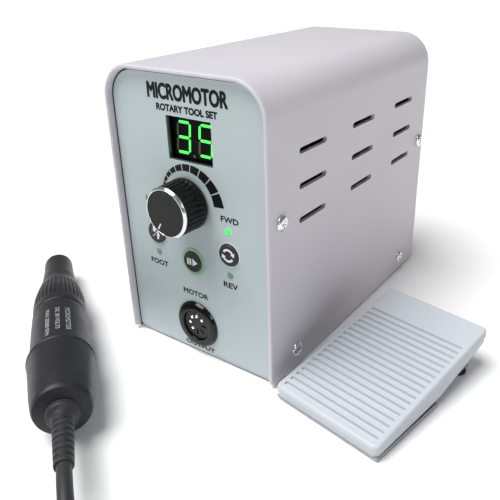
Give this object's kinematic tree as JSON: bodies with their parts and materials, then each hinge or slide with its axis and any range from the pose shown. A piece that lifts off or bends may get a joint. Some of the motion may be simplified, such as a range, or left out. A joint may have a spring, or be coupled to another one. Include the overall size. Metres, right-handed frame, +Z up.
{
  "type": "rotary tool set",
  "caption": "Micromotor rotary tool set: a control box with speed knob, display and push buttons, a twist-lock handpiece on a coiled cord, and a ribbed foot pedal.",
  "frame": {"origin": "centre of the control box's underside, on the bottom face of its rubber pad", "axes": "+X to the right of the front panel, +Y from the front panel to the back, +Z up"},
  "size_m": [0.2439, 0.3485, 0.1362],
  "materials": {
    "black_rubber": "matt",
    "plated_sheet": "satin plated",
    "grey_paint": "satin, fine texture",
    "screw_chrome": "polished",
    "panel_film": "satin film",
    "display_black": "smooth",
    "lit_segments": "diffusing, lit",
    "board_green": "solder mask",
    "standoff_brass": "turned",
    "lamp_lit": "lit lens",
    "lamp_idle": "diffusing lens",
    "button_black": "satin",
    "ring_green": "translucent ring",
    "part_black": "moulded",
    "steel_bright": "ground",
    "knob_black": "satin, fluted",
    "socket_gloss": "gloss",
    "insert_black": "moulded",
    "contact_plated": "plated",
    "iron_core": "varnished laminations",
    "copper_wound": "varnished wire",
    "aluminium_plain": "extruded",
    "sleeve_blue": "shrink sleeve",
    "pen_black": "satin anodised look",
    "cord_rubber": "matt",
    "plug_black": "moulded",
    "pedal_grey": "satin moulded",
    "pedal_shade": "satin moulded",
    "plunger_red": "moulded"
  },
  "bodies": {
    "control_box": {"base_pad": "black_rubber", "chassis": "plated_sheet", "cover": "grey_paint", "cover_screws": "screw_chrome", "front_overlay": "panel_film", "display_module": "display_black", "display_digits": "lit_segments", "control_board": "board_green", "board_standoffs": "standoff_brass", "led_forward": "lamp_lit", "status_leds": "lamp_idle", "start_ring": "ring_green", "button_switches": "part_black", "speed_pot": "plated_sheet", "pot_nut": "screw_chrome", "motor_socket": "socket_gloss", "socket_insert": "insert_black", "socket_contacts": "contact_plated", "transformer_core": "iron_core", "transformer_winding": "copper_wound", "power_board": "board_green", "heatsink": "aluminium_plain", "capacitors": "sleeve_blue", "mains_inlet": "part_black", "fuse_holder": "part_black", "rocker_frame": "part_black", "pedal_jack": "contact_plated"},
    "speed_knob": {"pot_shaft": "steel_bright", "knob_body": "knob_black", "knob_ring": "screw_chrome"},
    "start_cap": {"start_button": "button_black"},
    "direction_cap": {"direction_button": "button_black"},
    "mode_cap": {"mode_button": "button_black"},
    "rocker": {"power_rocker": "button_black"},
    "fuse_cap": {"fuse_cap": "part_black"},
    "handpiece": {"nose_cap": "steel_bright", "front_sleeve": "pen_black", "motor_housing": "pen_black", "rear_sleeve": "pen_black", "bearings": "steel_bright", "motor_magnets": "iron_core", "brushes": "part_black", "strain_relief": "cord_rubber", "cord_lead": "cord_rubber", "cord_coil": "cord_rubber", "cord_tail": "cord_rubber", "plug_body": "plug_black", "plug_pins": "contact_plated"},
    "chuck_ring": {"grip_ring": "pen_black"},
    "spindle": {"spindle": "steel_bright", "armature": "copper_wound"},
    "collet": {"collet": "steel_bright", "tool_shank": "steel_bright"},
    "pedal": {"pedal_base": "pedal_shade", "pedal_hinge_pin": "steel_bright", "pedal_spring": "steel_bright", "pedal_switch": "part_black", "pedal_feet": "black_rubber"},
    "treadle": {"pedal_treadle": "pedal_grey"},
    "plunger": {"pedal_plunger": "plunger_red"}
  },
  "joints": [
    {"name": "knob_turn", "type": "hinge", "parent": "control_box", "child": "speed_knob", "pos_m": [-0.001, -0.0738, 0.079], "axis": [0, 1, 0], "range_deg": [0, 300]},
    {"name": "start_press", "type": "slide", "parent": "control_box", "child": "start_cap", "axis": [0, 1, 0], "range_m": [0, 0.0009], "stiffness_N_per_m": 400},
    {"name": "direction_press", "type": "slide", "parent": "control_box", "child": "direction_cap", "axis": [0, 1, 0], "range_m": [0, 0.0009], "stiffness_N_per_m": 400},
    {"name": "mode_press", "type": "slide", "parent": "control_box", "child": "mode_cap", "axis": [0, 1, 0], "range_m": [0, 0.0009], "stiffness_N_per_m": 400},
    {"name": "power_tilt", "type": "hinge", "parent": "control_box", "child": "rocker", "pos_m": [0.019, 0.0704, 0.028], "axis": [-1, 0, 0], "range_deg": [0, 20]},
    {"name": "fuse_cap_turn", "type": "hinge", "parent": "control_box", "child": "fuse_cap", "pos_m": [0.019, 0.0734, 0.06], "axis": [0, 1, 0], "range_deg": [0, 60]},
    {"name": "handpiece_lift", "type": "slide", "parent": "control_box", "child": "handpiece", "axis": [0, 0, 1], "range_m": [0, 0.15]},
    {"name": "chuck_twist", "type": "hinge", "parent": "handpiece", "child": "chuck_ring", "pos_m": [-0.07776, -0.09564, 0.01246], "axis": [-0.8084, 0.5874, -0.0384], "range_deg": [0, 50]},
    {"name": "spindle_spin", "type": "hinge", "parent": "handpiece", "child": "spindle", "pos_m": [-0.07776, -0.09564, 0.01246], "axis": [-0.8084, 0.5874, -0.0384], "continuous": true},
    {"name": "collet_slide", "type": "slide", "parent": "spindle", "child": "collet", "axis": [-0.8084, 0.5874, -0.0384], "range_m": [0, 0.000611]},
    {"name": "pedal_lift", "type": "slide", "parent": "control_box", "child": "pedal", "axis": [0, 0, 1], "range_m": [0, 0.15]},
    {"name": "treadle_press", "type": "hinge", "parent": "pedal", "child": "treadle", "pos_m": [0.0761, -0.07748, 0.0043], "axis": [-0.9848, 0.1736, 0], "range_deg": [0, 2.4], "stiffness_Nm_per_rad": 2, "springref_deg": -4.58, "deforming": ["pedal_spring"]},
    {"name": "plunger_slide", "type": "slide", "parent": "pedal", "child": "plunger", "axis": [0, 0, -1], "range_m": [0, 0.0018]}
  ],
  "couplings": [
    {"joint": "collet_slide", "follows": "chuck_twist", "m_per_rad": 0.0007},
    {"joint": "plunger_slide", "follows": "treadle_press", "m_per_rad": 0.042}
  ]
}
